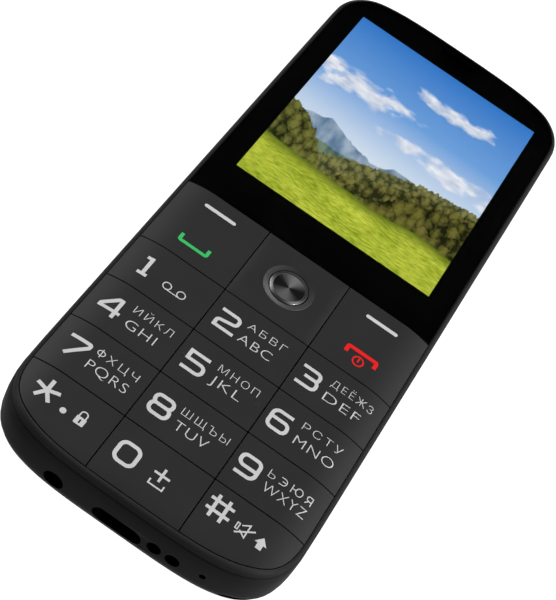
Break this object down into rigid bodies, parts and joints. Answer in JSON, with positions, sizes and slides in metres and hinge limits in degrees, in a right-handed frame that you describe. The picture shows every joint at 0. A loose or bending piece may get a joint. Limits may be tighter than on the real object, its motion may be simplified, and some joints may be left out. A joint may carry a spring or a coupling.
{
  "type": "feature phone",
  "caption": "Bar-shaped feature phone with a tall colour screen, a square navigation pad round a metal button, and a flat number keypad.",
  "frame": {"origin": "centre of the flat back face", "axes": "+Z out of the screen, +Y from the socket end to the earpiece end, +X to the right as the keypad is read"},
  "size_m": [0.0544, 0.1402, 0.0127],
  "materials": {
    "case_plastic": "fine matt dark grey",
    "lens": "clear, polished",
    "black_print": "black print",
    "screen": "lit picture of a landscape",
    "white_plastic": "white",
    "foam": "black foam and mesh",
    "flex": "amber film",
    "key_plastic": "fine matt dark grey with light prints",
    "carrier_plastic": "moulded grey",
    "button_metal": "spun, with a bright bevel",
    "silicone": "translucent grey",
    "spring_steel": "stamped bright",
    "board": "green solder mask",
    "black_plastic": "moulded black",
    "brass_can": "plated",
    "weight_metal": "sintered",
    "battery_wrap": "plain blue-grey wrap",
    "clear_plastic": "clear moulding"
  },
  "bodies": {
    "case": {"front_frame": "case_plastic", "mid_housing": "case_plastic", "screen_lens": "lens", "lens_mask": "black_print", "lcd_panel": "screen", "backlight_unit": "white_plastic", "key_leds": "white_plastic", "flash_led": "white_plastic", "display_pad": "foam", "earpiece_mesh": "foam", "display_flex": "flex", "dome_film": "flex", "antenna": "flex", "key_mat": "silicone", "key_domes": "spring_steel", "shield_can": "spring_steel", "usb_socket": "spring_steel", "sim_socket_left": "spring_steel", "sim_socket_right": "spring_steel", "card_socket": "spring_steel", "screws": "spring_steel", "vibration_motor": "spring_steel", "earpiece": "spring_steel", "main_board": "board", "audio_jack": "black_plastic", "loudspeaker": "black_plastic", "camera_module": "black_plastic", "battery_contacts": "black_plastic", "microphone": "brass_can", "battery": "battery_wrap", "flash_guide": "clear_plastic"},
    "battery_cover": {"battery_cover": "case_plastic", "speaker_mesh": "foam", "camera_window": "clear_plastic", "camera_ring": "button_metal"},
    "key_soft_call": {"key_soft_call": "key_plastic"},
    "key_soft_end": {"key_soft_end": "key_plastic"},
    "nav_base": {"nav_base": "carrier_plastic"},
    "nav_plate": {"nav_plate": "key_plastic"},
    "ok_button": {"ok_button": "button_metal"},
    "motor_weight": {"motor_weight": "weight_metal"},
    "key_1": {"key_1": "key_plastic"},
    "key_2": {"key_2": "key_plastic"},
    "key_3": {"key_3": "key_plastic"},
    "key_4": {"key_4": "key_plastic"},
    "key_5": {"key_5": "key_plastic"},
    "key_6": {"key_6": "key_plastic"},
    "key_7": {"key_7": "key_plastic"},
    "key_8": {"key_8": "key_plastic"},
    "key_9": {"key_9": "key_plastic"},
    "key_star": {"key_star": "key_plastic"},
    "key_0": {"key_0": "key_plastic"},
    "key_hash": {"key_hash": "key_plastic"}
  },
  "joints": [
    {"name": "key_1_press", "type": "slide", "parent": "case", "child": "key_1", "axis": [0, 0, -1], "range_m": [0, 0.0003], "stiffness_N_per_m": 3000},
    {"name": "key_2_press", "type": "slide", "parent": "case", "child": "key_2", "axis": [0, 0, -1], "range_m": [0, 0.0003], "stiffness_N_per_m": 3000},
    {"name": "key_3_press", "type": "slide", "parent": "case", "child": "key_3", "axis": [0, 0, -1], "range_m": [0, 0.0003], "stiffness_N_per_m": 3000},
    {"name": "key_4_press", "type": "slide", "parent": "case", "child": "key_4", "axis": [0, 0, -1], "range_m": [0, 0.0003], "stiffness_N_per_m": 3000},
    {"name": "key_5_press", "type": "slide", "parent": "case", "child": "key_5", "axis": [0, 0, -1], "range_m": [0, 0.0003], "stiffness_N_per_m": 3000},
    {"name": "key_6_press", "type": "slide", "parent": "case", "child": "key_6", "axis": [0, 0, -1], "range_m": [0, 0.0003], "stiffness_N_per_m": 3000},
    {"name": "key_7_press", "type": "slide", "parent": "case", "child": "key_7", "axis": [0, 0, -1], "range_m": [0, 0.0003], "stiffness_N_per_m": 3000},
    {"name": "key_8_press", "type": "slide", "parent": "case", "child": "key_8", "axis": [0, 0, -1], "range_m": [0, 0.0003], "stiffness_N_per_m": 3000},
    {"name": "key_9_press", "type": "slide", "parent": "case", "child": "key_9", "axis": [0, 0, -1], "range_m": [0, 0.0003], "stiffness_N_per_m": 3000},
    {"name": "key_star_press", "type": "slide", "parent": "case", "child": "key_star", "axis": [0, 0, -1], "range_m": [0, 0.0003], "stiffness_N_per_m": 3000},
    {"name": "key_0_press", "type": "slide", "parent": "case", "child": "key_0", "axis": [0, 0, -1], "range_m": [0, 0.0003], "stiffness_N_per_m": 3000},
    {"name": "key_hash_press", "type": "slide", "parent": "case", "child": "key_hash", "axis": [0, 0, -1], "range_m": [0, 0.0003], "stiffness_N_per_m": 3000},
    {"name": "ok_button_press", "type": "slide", "parent": "case", "child": "ok_button", "axis": [0, 0, -1], "range_m": [0, 0.0003], "stiffness_N_per_m": 3000},
    {"name": "key_soft_call_tilt", "type": "hinge", "parent": "case", "child": "key_soft_call", "pos_m": [-0.01736, -0.0147, 0.0103], "axis": [1, 0, 0], "range_deg": [-2.5, 2.5], "stiffness_Nm_per_rad": 0.2},
    {"name": "key_soft_end_tilt", "type": "hinge", "parent": "case", "child": "key_soft_end", "pos_m": [0.01736, -0.0147, 0.0103], "axis": [1, 0, 0], "range_deg": [-2.5, 2.5], "stiffness_Nm_per_rad": 0.2},
    {"name": "nav_base_tilt", "type": "hinge", "parent": "case", "child": "nav_base", "pos_m": [0, -0.0147, 0.0101], "axis": [1, 0, 0], "range_deg": [-2.5, 2.5], "stiffness_Nm_per_rad": 0.2},
    {"name": "nav_plate_tilt", "type": "hinge", "parent": "nav_base", "child": "nav_plate", "pos_m": [0, -0.0147, 0.0103], "axis": [0, 1, 0], "range_deg": [-2.5, 2.5], "stiffness_Nm_per_rad": 0.2},
    {"name": "cover_lift", "type": "slide", "parent": "case", "child": "battery_cover", "axis": [0, 0, -1], "range_m": [0, 0.015]},
    {"name": "motor_spin", "type": "hinge", "parent": "case", "child": "motor_weight", "pos_m": [0.0196, -0.0548, 0.0053], "axis": [1, 0, 0], "continuous": true}
  ]
}
